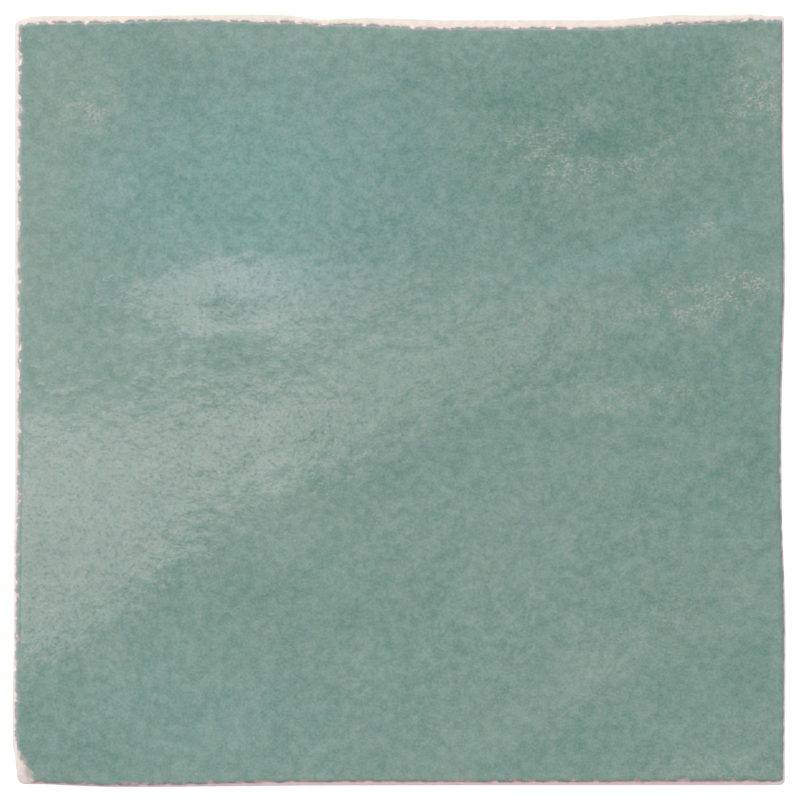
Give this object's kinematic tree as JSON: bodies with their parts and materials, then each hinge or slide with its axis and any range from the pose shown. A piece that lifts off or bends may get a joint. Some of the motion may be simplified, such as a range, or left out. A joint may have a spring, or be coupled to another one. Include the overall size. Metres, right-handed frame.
{
  "type": "ceramic wall tile",
  "caption": "Square glazed ceramic wall tile with a hand-made look: a swelling, cushioned glaze face, a narrow bare clay lip with a wandering edge, and a flat back with shallow waffle pockets.",
  "frame": {"origin": "middle of the flat back face, which is also the middle of the underside of the tile's box", "axes": "+Z comes out of the glazed face, +Y points to the top edge of the picture's view and +X to its right edge"},
  "size_m": [0.132, 0.132, 0.0083],
  "materials": {
    "glaze": "satin to gloss grey-green glaze with mottled grain, over a pale cream to pink clay body that shows at the lip and the back"
  },
  "bodies": {
    "root": {"tile": "glaze"}
  },
  "joints": []
}
